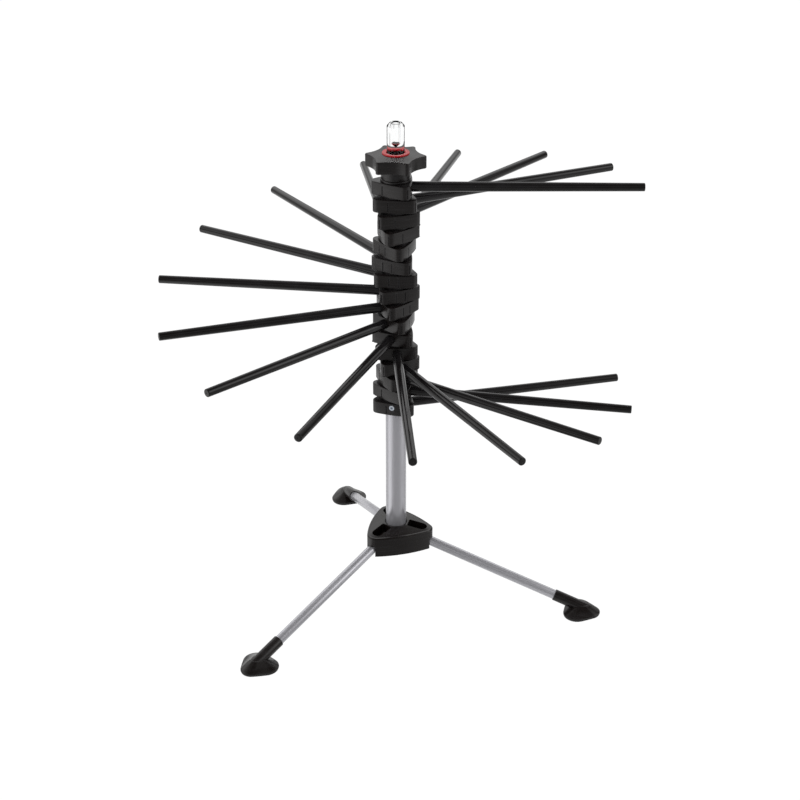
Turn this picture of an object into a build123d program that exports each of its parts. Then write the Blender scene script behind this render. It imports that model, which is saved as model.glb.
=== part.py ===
from build123d import *
from math import cos, hypot, radians, sin, sqrt, tan
import os

# A free-standing pasta drying rack. Sixteen rods fan out in a spiral round an
# aluminium column, which stands on a three-legged base. Millimetres, +Z up.
# The origin is where the column's axis meets the table.

# Shared clearances
RUNNING_GAP = 0.06        # a shaft in its hole, on the radius
PRESS_GAP = 0.02          # a pressed or glued piece in its seat, on the radius
FACE_GAP = 0.1            # flat faces that turn or slide on each other
FREE_GAP = 0.35           # curved pieces that pass each other
CUT_OVERRUN = 2.0         # how far a cutting solid runs past the face it cuts

# The fan of arms
ARM_COUNT = 16
ARM_REACH = 225.0         # column axis to the rod's tip
ARM_PITCH = 14.7          # height from one arm to the next
ARM_STEP_DEG = 25.0       # turn from one arm to the next, set by the stop dogs
ARM_RISE_DEG = 0.31       # the rods point up by this much
TOP_ARM_HEADING_DEG = -1.28
ARM_ROOT_DIA = 9.6
ARM_TIP_DIA = 7.6
ARM_TIP_ROUND = 0.9
ARM_SPIGOT_DIA = 6.0
ARM_SPIGOT_LENGTH = 2.8
ARM_SEAT_DEPTH = 0.9      # how deep the rod's shoulder sits in the ring's flat side

# The ring at the root of each arm, a rounded triangle with bowed sides
RING_HEIGHT = 12.4
RING_SIDE_REACH = 15.0    # axis to the middle of a side
RING_CORNER_REACH = 25.5  # axis to a corner before it is rounded
RING_CORNER_ROUND = 5.5
RING_EDGE_ROUND = 0.5
RING_BOSS_DIA = 26.0      # the round collar that holds two rings apart
GROOVE_WIDTH = 0.5
GROOVE_DEPTH = 0.25
GROOVE_HEADINGS_DEG = (97.0, 128.0, 161.0)
DOG_WIDTH_DEG = 24.0      # the stop dog under each turning ring
DOG_HEIGHT = 2.0
DOG_WALL = 2.3            # from the bore to the dog's outer face
DOG_POCKET_WALL = 2.6
DOG_SLACK_DEG = 0.6

# The screw that locks the lowest ring to the column
GRUB_DIA = 5.2
GRUB_HEX = 2.6            # across the flats of its socket
GRUB_HEX_DEPTH = 2.0
GRUB_RISE = 1.6           # above the middle of the ring
GRUB_INSET = 0.25         # its end lies this far inside the ring's side

# The column
COLUMN_DIA = 20.0
COLUMN_WALL = 1.5
COLUMN_FREE_LENGTH = 125.6  # bare tube between the base and the lowest ring
COLUMN_TOP_SHARE = 0.5      # how far up the star of the knob the tube ends

# The knob and the washer under it
WASHER_DIA = 28.4
WASHER_HEIGHT = 2.4
WASHER_EDGE_ROUND = 0.6
NECK_DIA = 27.4
NECK_HEIGHT = 10.0
STAR_POINTS = 6
STAR_REACH = 31.0         # before its points are rounded
STAR_VALLEY_REACH = 21.6
STAR_HEIGHT = 11.6        # to the flat top of its points
STAR_HEADING_DEG = -7.2
STAR_POINT_ROUND = 2.8
STAR_EDGE_ROUND = 0.9
CROWN_RISE = 1.4          # the middle of the star stands up round the trim
CROWN_DIA = 39.0
CROWN_TOP_DIA = 27.0
TRIM_DIA = 25.2
TRIM_HEIGHT = 1.7
TRIM_SEAT_DEPTH = 0.5
TRIM_ROUND = 0.7

# The clear wand kept in the column
WAND_DIA = 16.2
WAND_STAND = 28.4         # head above the knob
WAND_CHAMFER = 2.5
WAND_CHAMFER_HEIGHT = 2.8
WAND_WELL_DIA = 7.6
WAND_WELL_DEPTH = 18.9    # straight part of the blind hole in the head
WAND_WELL_CONE = 4.2
WAND_TAIL_ROUND = 1.5
WAND_REST_HEIGHT = 3.0
WAND_REST_GAP = 0.2       # the rubber rest inside the tube, on the radius

# The base
LEG_COUNT = 3
LEG_NAMES = ("left", "right", "back")
LEG_HEADING_DEG = 226.39
LEG_SLOPE_DEG = 19.4
LEG_DIA = 9.4
LEG_WALL = 0.9
LEG_HEAD_TAIL = 10.0      # hinge head past the pivot, towards the column
LEG_TUBE_START = 4.4      # from the pivot to where the tube begins
LEG_SPIGOT_LENGTH = 14.0  # of the hinge head, inside the tube
PIVOT_RADIUS = 24.0       # column axis to a leg's pivot
PIVOT_DIA = 3.0

HUB_SIDE_REACH = 25.9
HUB_CORNER_REACH = 41.0
HUB_CORNER_ROUND = 9.4
HUB_HEIGHT = 20.4         # underside to the rim
HUB_BELOW_PIVOT = 9.85
HUB_DOME_RISE = 3.5
HUB_EDGE_RISE = 1.1
HUB_EDGE_INSET = 1.0
HUB_LIP = 1.3             # flat lip inside the edge, before the dome rises
HUB_WALL = 2.4
HUB_DOME_TOP_SIDE = 12.4
HUB_DOME_TOP_CORNER = 15.0
HUB_DOME_TOP_ROUND = 7.0
HUB_POST_DIA = 24.2
SOCKET_CHAMFER = 1.1      # round the column's foot
HUB_FLOOR = 3.5
HUB_CHEEK = 2.2           # the wall on each side of a leg's bay
LEG_SIDE_GAP = 0.65
LEG_STOP_GAP = 0.12
WINDOW_WIDTH = 11.8
WINDOW_INNER = 12.4       # its straight end, by the column
WINDOW_OUTER = 31.5       # its round end
WINDOW_INNER_ROUND = 1.5
PIN_HEAD_INSET = 0.2

PLUG_HEIGHT = 18.0
SCREW_DIA = 4.0
SCREW_HEAD_DIA = 8.0
SCREW_HEAD_HEIGHT = 2.4
SCREW_LENGTH = 16.0
SCREW_SLOT_WIDTH = 1.0
SCREW_SLOT_DEPTH = 0.9

# The feet
FOOT_REACH = 207.9        # column axis to a foot's outer end
FOOT_AIM_HEIGHT = 0.4     # the leg's axis over the table at that end
PAD_LENGTH = 35.5
PAD_WIDTH = 38.0
PAD_TIP_ROUND = 10.5
PAD_CORNER_ROUND = 13.0
PAD_RIM_HEIGHT = 1.5
SOLE_HEIGHT = 1.3
SOLE_INSET = 0.5
# The pad's outlines on the way up to the sleeve: rise over the rim, how far
# the tip and the back draw in, half width, tip round, corner round.
PAD_LEVELS = (
    (2.6, 2.8, 5.0, 13.6, 8.6, 8.6),
    (5.4, 7.3, 9.5, 8.8, 6.4, 5.4),
    (7.6, 11.6, 13.0, 5.3, 4.2, 3.4),
)
SLEEVE_END = 11.6         # the sleeve ends this far inside the foot's outer end
SLEEVE_DIA = 11.3
SLEEVE_LENGTH = 49.0      # from its mouth to the foot's outer end
SLEEVE_GRIP = 25.0        # leg tube held in the sleeve
SLEEVE_MOUTH_ROUND = 0.5

# Heights and places that follow from the sizes above
SIDE_DEG = 120            # each side of a three-cornered outline
HALF_SIDE_DEG = SIDE_DEG / 2
LEG_SLOPE = tan(radians(LEG_SLOPE_DEG))
LEG_LEAN = cos(radians(LEG_SLOPE_DEG))
PIVOT_HEIGHT = FOOT_AIM_HEIGHT + (FOOT_REACH - PIVOT_RADIUS) * LEG_SLOPE
HUB_BOTTOM = PIVOT_HEIGHT - HUB_BELOW_PIVOT
HUB_RIM = HUB_BOTTOM + HUB_HEIGHT
HUB_TOP = HUB_RIM + HUB_DOME_RISE
COLUMN_BOTTOM = HUB_BOTTOM + HUB_FLOOR
COLUMN_RADIUS = COLUMN_DIA / 2
COLUMN_BORE = COLUMN_RADIUS - COLUMN_WALL
LOWEST_ARM_HEIGHT = HUB_TOP + COLUMN_FREE_LENGTH + RING_HEIGHT / 2
TOP_ARM_HEIGHT = LOWEST_ARM_HEIGHT + (ARM_COUNT - 1) * ARM_PITCH
WASHER_BOTTOM = TOP_ARM_HEIGHT + RING_HEIGHT / 2 + FACE_GAP
NECK_BOTTOM = WASHER_BOTTOM + WASHER_HEIGHT
STAR_BOTTOM = NECK_BOTTOM + NECK_HEIGHT
STAR_RIM = STAR_BOTTOM + STAR_HEIGHT
STAR_TOP = STAR_RIM + CROWN_RISE
COLUMN_TOP = STAR_BOTTOM + STAR_HEIGHT * COLUMN_TOP_SHARE
WAND_TOP = STAR_TOP + WAND_STAND
PLUG_TOP = COLUMN_BOTTOM + PLUG_HEIGHT
WAND_BOTTOM = PLUG_TOP + WAND_REST_HEIGHT + FACE_GAP
RING_BORE = COLUMN_RADIUS + RUNNING_GAP
RING_BOSS_HEIGHT = ARM_PITCH - RING_HEIGHT - FACE_GAP
ROD_SHOULDER = RING_SIDE_REACH - ARM_SEAT_DEPTH
LEG_RADIUS = LEG_DIA / 2
BAY_HALF_WIDTH = LEG_RADIUS + LEG_SIDE_GAP


def ring_height(number):
    """Height of the middle of a ring; number 1 is the top one."""
    return LOWEST_ARM_HEIGHT + (ARM_COUNT - number) * ARM_PITCH


def arm_heading(number):
    """Compass angle of an arm about +Z, in degrees from +X."""
    return TOP_ARM_HEADING_DEG + (number - 1) * ARM_STEP_DEG


def leg_heading(index):
    """Compass angle of a leg about +Z, in degrees from +X."""
    return LEG_HEADING_DEG + index * 360 / LEG_COUNT


def spot(reach, heading_deg):
    """The point at a distance from the axis and a compass angle."""
    turn = radians(heading_deg)
    return (reach * cos(turn), reach * sin(turn))


def bow_reach(corner_reach, side_reach, turn_deg, inset=0):
    """Distance from the axis to a bowed side, at an angle from the side's middle."""
    half_chord = corner_reach * sin(radians(HALF_SIDE_DEG))
    rise = side_reach - corner_reach * cos(radians(HALF_SIDE_DEG))
    radius = (half_chord**2 + rise**2) / (2 * rise)
    centre_back = radius - side_reach
    turn = radians(turn_deg)
    return sqrt((radius - inset) ** 2 - (centre_back * sin(turn)) ** 2) - centre_back * cos(turn)


def bowed_triangle(corner_reach, side_reach, corner_round, heading_deg, inset=0):
    """A face with three bowed sides and rounded corners, one at heading_deg."""
    corner = bow_reach(corner_reach, side_reach, HALF_SIDE_DEG, inset)
    corners = [spot(corner, heading_deg + step * SIDE_DEG) for step in range(3)]
    middles = [spot(side_reach - inset, heading_deg + step * SIDE_DEG + HALF_SIDE_DEG) for step in range(3)]
    sides = [
        ThreePointArc(corners[step], middles[step], corners[(step + 1) % 3])
        for step in range(3)
    ]
    face = make_face(sides)
    return fillet(face.vertices(), corner_round - inset)


def disc(radius, height, bottom):
    """An upright cylinder on the column's axis."""
    return Pos(0, 0, bottom + height / 2) * Cylinder(radius, height)


def tube(outer, inner, height, bottom):
    """An upright ring on the column's axis."""
    cut = disc(inner, height + 2 * CUT_OVERRUN, bottom - CUT_OVERRUN)
    return disc(outer, height, bottom) - cut


def sector(outer, inner, height, bottom, start_deg, sweep_deg):
    """A piece of an upright ring between two compass angles."""
    reach = outer / cos(radians(sweep_deg / 2))
    wedge = make_face(Polyline(
        (0, 0),
        spot(2 * reach, start_deg),
        spot(2 * reach, start_deg + sweep_deg / 2),
        spot(2 * reach, start_deg + sweep_deg),
        (0, 0),
    ))
    block = extrude(Pos(0, 0, bottom) * wedge, amount=height)
    return tube(outer, inner, height, bottom) & block


def radial(shape_along_x, heading_deg):
    """Turn a shape made along +X to a compass angle."""
    return Rot(0, 0, heading_deg) * shape_along_x


def risen(shape_along_x):
    """Tip a rod, or its seat, up by the rods' small rise."""
    return Rot(0, -ARM_RISE_DEG, 0) * shape_along_x


def cylinder_x(radius, start, end, height=0.0):
    """A lying cylinder along +X between two distances from the axis."""
    return Pos((start + end) / 2, 0, height) * Rot(0, 90, 0) * Cylinder(radius, end - start)


# The arms

def ring_outline():
    """Plan of a ring whose arm leaves along +X, through the middle of a side."""
    return bowed_triangle(RING_CORNER_REACH, RING_SIDE_REACH, RING_CORNER_ROUND, HALF_SIDE_DEG)


def arm_ring(has_dog):
    """A ring centred on the origin, its arm along +X.

    A turning ring has a collar and a stop dog under it. The dog of the ring
    above runs in the pocket in its top face.
    """
    bottom = -RING_HEIGHT / 2
    body = extrude(Pos(0, 0, bottom) * ring_outline(), amount=RING_HEIGHT)
    body = fillet(body.faces().filter_by(Plane.XY).edges(), RING_EDGE_ROUND)
    for heading in GROOVE_HEADINGS_DEG:
        for side in (1, -1):
            body = body - groove_cutter(side * heading)
    dog_mid = 180
    if has_dog:
        body = body + disc(RING_BOSS_DIA / 2, RING_BOSS_HEIGHT, bottom - RING_BOSS_HEIGHT)
        body = body + sector(
            RING_BORE + DOG_WALL,
            RING_BORE,
            DOG_HEIGHT + RING_BOSS_HEIGHT,
            bottom - RING_BOSS_HEIGHT - DOG_HEIGHT,
            dog_mid - DOG_WIDTH_DEG / 2,
            DOG_WIDTH_DEG,
        )
    body = body - disc(RING_BORE, 2 * ARM_PITCH, -ARM_PITCH)
    pocket_depth = DOG_HEIGHT + FREE_GAP
    body = body - sector(
        RING_BORE + DOG_POCKET_WALL,
        RING_BORE - CUT_OVERRUN,
        pocket_depth + CUT_OVERRUN,
        RING_HEIGHT / 2 - pocket_depth,
        dog_mid - ARM_STEP_DEG - DOG_WIDTH_DEG / 2 - DOG_SLACK_DEG,
        ARM_STEP_DEG + DOG_WIDTH_DEG + 2 * DOG_SLACK_DEG,
    )
    seat = cylinder_x(ARM_ROOT_DIA / 2 + PRESS_GAP, ROD_SHOULDER, ROD_SHOULDER + RING_SIDE_REACH)
    hole = cylinder_x(
        ARM_SPIGOT_DIA / 2 + PRESS_GAP,
        ROD_SHOULDER - ARM_SPIGOT_LENGTH - PRESS_GAP,
        ROD_SHOULDER + CUT_OVERRUN,
    )
    return body - risen(seat + hole)


def groove_cutter(heading_deg):
    """A narrow upright blade that marks a ring's side at a compass angle."""
    turn_deg = (heading_deg + HALF_SIDE_DEG) % SIDE_DEG - HALF_SIDE_DEG
    reach = bow_reach(RING_CORNER_REACH, RING_SIDE_REACH, turn_deg)
    blade = Box(2 * GROOVE_DEPTH, GROOVE_WIDTH, RING_HEIGHT - 2 * RING_EDGE_ROUND)
    return radial(Pos(reach, 0, 0) * blade, heading_deg)


def arm_rod():
    """A tapered rod along +X from its seat in the ring, with a spigot."""
    profile = Polyline(
        (ROD_SHOULDER - ARM_SPIGOT_LENGTH, 0),
        (ROD_SHOULDER - ARM_SPIGOT_LENGTH, ARM_SPIGOT_DIA / 2),
        (ROD_SHOULDER, ARM_SPIGOT_DIA / 2),
        (ROD_SHOULDER, ARM_ROOT_DIA / 2),
        (ARM_REACH, ARM_TIP_DIA / 2),
        (ARM_REACH, 0),
        (ROD_SHOULDER - ARM_SPIGOT_LENGTH, 0),
    )
    rod = revolve(make_face(Plane.XZ * profile), Axis.X)
    tip_edge = rod.edges().filter_by(GeomType.CIRCLE).sort_by(Axis.X)[-1]
    return risen(fillet(tip_edge, ARM_TIP_ROUND))


def grub_heading():
    """The lowest ring's screw stands in the middle of the side before its arm."""
    return arm_heading(ARM_COUNT) - SIDE_DEG


def grub_screw():
    """Headless screw with a hexagon socket, pressed against the column."""
    start = COLUMN_RADIUS
    end = RING_SIDE_REACH - GRUB_INSET
    body = cylinder_x(GRUB_DIA / 2, start, end)
    socket = extrude(
        Plane.YZ.offset(end - GRUB_HEX_DEPTH) * RegularPolygon(GRUB_HEX / 2, 6, major_radius=False),
        amount=GRUB_HEX_DEPTH + CUT_OVERRUN,
    )
    placed = radial(body - socket, grub_heading())
    return Pos(0, 0, ring_height(ARM_COUNT) + GRUB_RISE) * placed


def placed_ring(number):
    """A ring at its height, turned so that its arm points its own way."""
    ring = radial(arm_ring(number < ARM_COUNT), arm_heading(number))
    ring = Pos(0, 0, ring_height(number)) * ring
    if number == ARM_COUNT:
        hole = cylinder_x(GRUB_DIA / 2 + PRESS_GAP, RING_BORE - CUT_OVERRUN, RING_CORNER_REACH)
        ring = ring - Pos(0, 0, ring_height(number) + GRUB_RISE) * radial(hole, grub_heading())
    return ring


# The column, the knob and the wand

def column_tube():
    """The aluminium tube, from its socket in the base up into the knob."""
    return tube(COLUMN_RADIUS, COLUMN_BORE, COLUMN_TOP - COLUMN_BOTTOM, COLUMN_BOTTOM)


def thrust_washer():
    """The washer that the knob presses on the stack of rings."""
    washer = tube(WASHER_DIA / 2, RING_BORE, WASHER_HEIGHT, WASHER_BOTTOM)
    rim = washer.edges().filter_by(GeomType.CIRCLE).group_by(SortBy.RADIUS)[-1]
    return fillet(rim, WASHER_EDGE_ROUND)


def star_outline():
    """Plan of the knob, six points with hollow sides."""
    step = 360 / STAR_POINTS
    points = [spot(STAR_REACH, STAR_HEADING_DEG + n * step) for n in range(STAR_POINTS)]
    valleys = [spot(STAR_VALLEY_REACH, STAR_HEADING_DEG + (n + 1 / 2) * step) for n in range(STAR_POINTS)]
    sides = [
        ThreePointArc(points[n], valleys[n], points[(n + 1) % STAR_POINTS])
        for n in range(STAR_POINTS)
    ]
    face = make_face(sides)
    return fillet(face.vertices(), STAR_POINT_ROUND)


def knob():
    """Star knob with its neck; it screws on the top end of the column."""
    star = extrude(Pos(0, 0, STAR_BOTTOM) * star_outline(), amount=STAR_HEIGHT)
    star = fillet(star.faces().filter_by(Plane.XY).edges(), STAR_EDGE_ROUND)
    crown = Pos(0, 0, STAR_RIM + CROWN_RISE / 2) * Cone(CROWN_DIA / 2, CROWN_TOP_DIA / 2, CROWN_RISE)
    body = star + crown + disc(NECK_DIA / 2, NECK_HEIGHT + CUT_OVERRUN, NECK_BOTTOM)
    body = body - disc(RING_BORE, COLUMN_TOP + FREE_GAP - NECK_BOTTOM + CUT_OVERRUN, NECK_BOTTOM - CUT_OVERRUN)
    body = body - disc(WAND_DIA / 2 + FREE_GAP, WAND_STAND, STAR_TOP - WAND_STAND)
    return body - disc(TRIM_DIA / 2 + PRESS_GAP, CUT_OVERRUN + TRIM_SEAT_DEPTH, STAR_TOP - TRIM_SEAT_DEPTH)


def knob_trim():
    """The coloured ring let into the knob round the wand."""
    ring = tube(TRIM_DIA / 2, WAND_DIA / 2 + FREE_GAP, TRIM_HEIGHT, STAR_TOP - TRIM_SEAT_DEPTH)
    top = ring.faces().sort_by(Axis.Z)[-1].edges()
    return fillet(top, TRIM_ROUND)


def wand():
    """Clear rod kept in the column; its head has a blind hole and a bevel."""
    radius = WAND_DIA / 2
    well = WAND_WELL_DIA / 2
    profile = Polyline(
        (0, WAND_BOTTOM),
        (radius - WAND_TAIL_ROUND, WAND_BOTTOM),
        (radius, WAND_BOTTOM + WAND_TAIL_ROUND),
        (radius, WAND_TOP - WAND_CHAMFER_HEIGHT),
        (radius - WAND_CHAMFER, WAND_TOP),
        (well, WAND_TOP),
        (well, WAND_TOP - WAND_WELL_DEPTH),
        (0, WAND_TOP - WAND_WELL_DEPTH - WAND_WELL_CONE),
        (0, WAND_BOTTOM),
    )
    return revolve(make_face(Plane.XZ * profile), Axis.Z)


def wand_rest():
    """Rubber disc at the bottom of the column that the wand stands on."""
    return disc(COLUMN_BORE - WAND_REST_GAP, WAND_REST_HEIGHT, PLUG_TOP)


def tube_plug():
    """Plug in the foot of the column that takes the base's screw."""
    plug = disc(COLUMN_BORE - PRESS_GAP, PLUG_HEIGHT, COLUMN_BOTTOM)
    depth = SCREW_LENGTH + SCREW_HEAD_HEIGHT - HUB_FLOOR + PRESS_GAP
    return plug - disc(SCREW_DIA / 2 + PRESS_GAP, depth + CUT_OVERRUN, COLUMN_BOTTOM - CUT_OVERRUN)


def hub_screw():
    """Countersunk screw from under the base into the column's plug."""
    profile = Polyline(
        (0, HUB_BOTTOM),
        (SCREW_HEAD_DIA / 2, HUB_BOTTOM),
        (SCREW_DIA / 2, HUB_BOTTOM + SCREW_HEAD_HEIGHT),
        (SCREW_DIA / 2, HUB_BOTTOM + SCREW_HEAD_HEIGHT + SCREW_LENGTH),
        (0, HUB_BOTTOM + SCREW_HEAD_HEIGHT + SCREW_LENGTH),
        (0, HUB_BOTTOM),
    )
    screw = revolve(make_face(Plane.XZ * profile), Axis.Z)
    slot = Pos(0, 0, HUB_BOTTOM) * Box(SCREW_HEAD_DIA, SCREW_SLOT_WIDTH, 2 * SCREW_SLOT_DEPTH)
    cross = Rot(0, 0, 90) * slot
    return screw - slot - cross


# The base and its legs

def hub_outline(inset=0):
    """Plan of the base, corners towards the legs, drawn in by an inset."""
    return bowed_triangle(
        HUB_CORNER_REACH, HUB_SIDE_REACH, HUB_CORNER_ROUND, LEG_HEADING_DEG, inset
    )


def hub_dome_top():
    """Plan of the top of the dome, round the column."""
    return bowed_triangle(HUB_DOME_TOP_CORNER, HUB_DOME_TOP_SIDE, HUB_DOME_TOP_ROUND, LEG_HEADING_DEG)


def hub_block():
    """The base's outer shape, without its hollows."""
    edge_bottom = HUB_RIM - HUB_EDGE_RISE
    outline = hub_outline()
    inset = hub_outline(HUB_EDGE_INSET)
    skirt = extrude(Pos(0, 0, HUB_BOTTOM) * outline, amount=edge_bottom - HUB_BOTTOM)
    edge = loft([Pos(0, 0, edge_bottom) * outline, Pos(0, 0, HUB_RIM) * inset], ruled=True)
    dome_foot = hub_outline(HUB_EDGE_INSET + HUB_LIP)
    dome = loft([Pos(0, 0, HUB_RIM) * dome_foot, Pos(0, 0, HUB_TOP) * hub_dome_top()], ruled=True)
    return skirt + edge + dome


def hub_hollow():
    """The space inside the base's shell, open underneath."""
    inner = hub_outline(HUB_WALL)
    ceiling = HUB_RIM - HUB_WALL
    under_dome = Pos(0, 0, HUB_TOP - HUB_WALL) * hub_dome_top()
    lower = extrude(
        Pos(0, 0, HUB_BOTTOM - CUT_OVERRUN) * inner, amount=ceiling - HUB_BOTTOM + CUT_OVERRUN
    )
    return lower + loft([Pos(0, 0, ceiling) * inner, under_dome], ruled=True)


def leg_bay():
    """Everything a leg along +X needs clear, from open to folded down."""
    width = 2 * BAY_HALF_WIDTH
    swing = hypot(LEG_HEAD_TAIL, LEG_RADIUS) + FREE_GAP
    turning = Pos(PIVOT_RADIUS, 0, PIVOT_HEIGHT) * Rot(90, 0, 0) * Cylinder(swing, width)
    outer = HUB_CORNER_REACH + CUT_OVERRUN
    below = Pos(
        (PIVOT_RADIUS - swing + outer) / 2, 0, (HUB_BOTTOM - CUT_OVERRUN + PIVOT_HEIGHT) / 2
    ) * Box(outer - PIVOT_RADIUS + swing, width, PIVOT_HEIGHT - HUB_BOTTOM + CUT_OVERRUN)
    roof = LEG_RADIUS + LEG_STOP_GAP
    over = Pos(PIVOT_RADIUS, 0, PIVOT_HEIGHT) * Rot(0, LEG_SLOPE_DEG, 0) * Pos(outer / 2, 0, 0) * Box(
        outer, width, 2 * roof
    )
    return turning + below + over


def leg_window():
    """The slot over a leg's root, cut down through the dome, round at its outer end."""
    round_x = WINDOW_OUTER - WINDOW_WIDTH / 2
    straight = Pos((WINDOW_INNER + round_x) / 2, 0) * Rectangle(round_x - WINDOW_INNER, WINDOW_WIDTH)
    inner_corners = straight.vertices().sort_by(Axis.X)[:2]
    slot = fillet(inner_corners, WINDOW_INNER_ROUND) + Pos(round_x, 0) * Circle(WINDOW_WIDTH / 2)
    return extrude(Pos(0, 0, PIVOT_HEIGHT) * slot, amount=HUB_TOP - PIVOT_HEIGHT + CUT_OVERRUN)


def hub_housing():
    """Moulded base: shell, socket for the column and a bay for each leg."""
    block = hub_block()
    shell = block - hub_hollow()
    post = disc(HUB_POST_DIA / 2, HUB_TOP - HUB_BOTTOM, HUB_BOTTOM)
    cheek_height = HUB_TOP - HUB_BOTTOM
    cheeks = post
    for index in range(LEG_COUNT):
        for side in (1, -1):
            cheek = Pos(
                HUB_CORNER_REACH / 2,
                side * (BAY_HALF_WIDTH + HUB_CHEEK / 2),
                HUB_BOTTOM + cheek_height / 2,
            ) * Box(HUB_CORNER_REACH, HUB_CHEEK, cheek_height)
            cheeks = cheeks + radial(cheek, leg_heading(index))
    socket_radius = COLUMN_RADIUS + PRESS_GAP
    socket = disc(socket_radius, HUB_TOP, COLUMN_BOTTOM) + Pos(0, 0, HUB_TOP - SOCKET_CHAMFER / 2) * Cone(
        socket_radius, socket_radius + SOCKET_CHAMFER, SOCKET_CHAMFER
    )
    body = shell + (cheeks & block) - (socket + screw_hole())
    for index in range(LEG_COUNT):
        heading = leg_heading(index)
        body = body - radial(leg_bay(), heading)
        body = body - radial(leg_window(), heading)
        body = body - radial(pin_shape(PRESS_GAP), heading)
    return body


def screw_hole():
    """Countersunk hole up through the base's floor for the screw."""
    head = SCREW_HEAD_DIA / 2 + PRESS_GAP
    shank = SCREW_DIA / 2 + PRESS_GAP
    profile = Polyline(
        (0, HUB_BOTTOM - CUT_OVERRUN),
        (head, HUB_BOTTOM - CUT_OVERRUN),
        (head, HUB_BOTTOM),
        (shank, HUB_BOTTOM + SCREW_HEAD_HEIGHT),
        (shank, COLUMN_BOTTOM + CUT_OVERRUN),
        (0, COLUMN_BOTTOM + CUT_OVERRUN),
        (0, HUB_BOTTOM - CUT_OVERRUN),
    )
    return revolve(make_face(Plane.XZ * profile), Axis.Z)


def pin_shape(growth):
    """A leg's pivot pin, with its radius and length grown by a clearance."""
    length = 2 * (BAY_HALF_WIDTH + HUB_CHEEK - PIN_HEAD_INSET + growth)
    return Pos(PIVOT_RADIUS, 0, PIVOT_HEIGHT) * Rot(90, 0, 0) * Cylinder(PIVOT_DIA / 2 + growth, length)


def pivot_pins():
    """The three steel pins that the legs fold on."""
    return Compound(children=[
        Part() + radial(pin_shape(0), leg_heading(index)) for index in range(LEG_COUNT)
    ])


def on_leg(shape_along_x):
    """Tip a shape made along +X from the pivot down along the leg's slope."""
    return Pos(PIVOT_RADIUS, 0, PIVOT_HEIGHT) * Rot(0, LEG_SLOPE_DEG, 0) * shape_along_x


def leg_end():
    """Distance along the leg from the pivot to the foot's outer end."""
    return (FOOT_REACH - PIVOT_RADIUS) / LEG_LEAN


def pin_hole():
    """The hole for the pivot pin through a hinge head, in the leg's own frame."""
    return Rot(90, 0, 0) * Cylinder(PIVOT_DIA / 2 + RUNNING_GAP, LEG_DIA + 2 * CUT_OVERRUN)


def leg_tube():
    """Aluminium leg along +X, from its hinge head into the foot's sleeve."""
    far = leg_end() - SLEEVE_LENGTH + SLEEVE_GRIP
    body = cylinder_x(LEG_RADIUS, LEG_TUBE_START, far)
    bore = cylinder_x(LEG_RADIUS - LEG_WALL, LEG_TUBE_START - CUT_OVERRUN, far + CUT_OVERRUN)
    return on_leg(body - bore)


def leg_plug():
    """Hinge head on the leg's inner end, plugged into the tube; the pin passes through it."""
    head = cylinder_x(LEG_RADIUS, -LEG_HEAD_TAIL, LEG_TUBE_START)
    spigot_radius = LEG_RADIUS - LEG_WALL - PRESS_GAP
    spigot = cylinder_x(spigot_radius, LEG_TUBE_START, LEG_TUBE_START + LEG_SPIGOT_LENGTH)
    return on_leg(head + spigot - pin_hole())


def pad_outline(bottom, inset=0, tip_in=0, back_in=0, half=PAD_WIDTH / 2,
                tip_round=PAD_TIP_ROUND, corner_round=PAD_CORNER_ROUND):
    """Plan of a foot's pad along +X at a height, drawn in by an inset or by its ends."""
    tip_x = FOOT_REACH - tip_in - tip_round
    corner_x = FOOT_REACH - PAD_LENGTH + back_in + corner_round
    tip = Pos(tip_x, 0) * Circle(tip_round - inset)
    corners = [
        Pos(corner_x, side * (half - corner_round)) * Circle(corner_round - inset)
        for side in (1, -1)
    ]
    edges = tip.edges() + corners[0].edges() + corners[1].edges()
    return Pos(0, 0, bottom) * make_hull(edges)


def foot():
    """Moulded foot: a three-cornered pad that rises to a sleeve for the leg."""
    rim_top = SOLE_HEIGHT + PAD_RIM_HEIGHT
    body = extrude(pad_outline(SOLE_HEIGHT), amount=PAD_RIM_HEIGHT)
    below = pad_outline(rim_top)
    for rise, tip_in, back_in, half, tip_round, corner_round in PAD_LEVELS:
        level = pad_outline(rim_top + rise, 0, tip_in, back_in, half, tip_round, corner_round)
        body = body + loft([below, level], ruled=True)
        below = level
    end = leg_end()
    mouth = end - SLEEVE_LENGTH
    sleeve = cylinder_x(SLEEVE_DIA / 2, mouth, end + SLEEVE_DIA)
    mouth_edge = sleeve.edges().filter_by(GeomType.CIRCLE).sort_by(Axis.X)[0]
    sleeve = on_leg(fillet(mouth_edge, SLEEVE_MOUTH_ROUND))
    sleeve_start = FOOT_REACH - PAD_LENGTH - SLEEVE_LENGTH
    sleeve_stop = FOOT_REACH - SLEEVE_END
    envelope = Pos((sleeve_start + sleeve_stop) / 2, 0, SOLE_HEIGHT + PIVOT_HEIGHT / 2) * Box(
        sleeve_stop - sleeve_start, PAD_WIDTH, PIVOT_HEIGHT
    )
    bore = cylinder_x(LEG_RADIUS + PRESS_GAP, mouth - CUT_OVERRUN, mouth + SLEEVE_GRIP + PRESS_GAP)
    return body + (sleeve & envelope) - on_leg(bore)


def foot_sole():
    """Soft sole under the pad."""
    return extrude(pad_outline(0, SOLE_INSET), amount=SOLE_HEIGHT)


def write(name, shape):
    """Save one node."""
    export_step(shape, f"parts/{name}.step")


os.makedirs("parts", exist_ok=True)

write("hub_housing", hub_housing())
write("hub_screw", hub_screw())
write("pivot_pins", pivot_pins())
write("tube_plug", tube_plug())
write("column_tube", column_tube())
write("wand_rest", wand_rest())
write("wand", wand())
write("thrust_washer", thrust_washer())
write("knob", knob())
write("knob_trim", knob_trim())
write("grub_screw", grub_screw())

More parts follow.
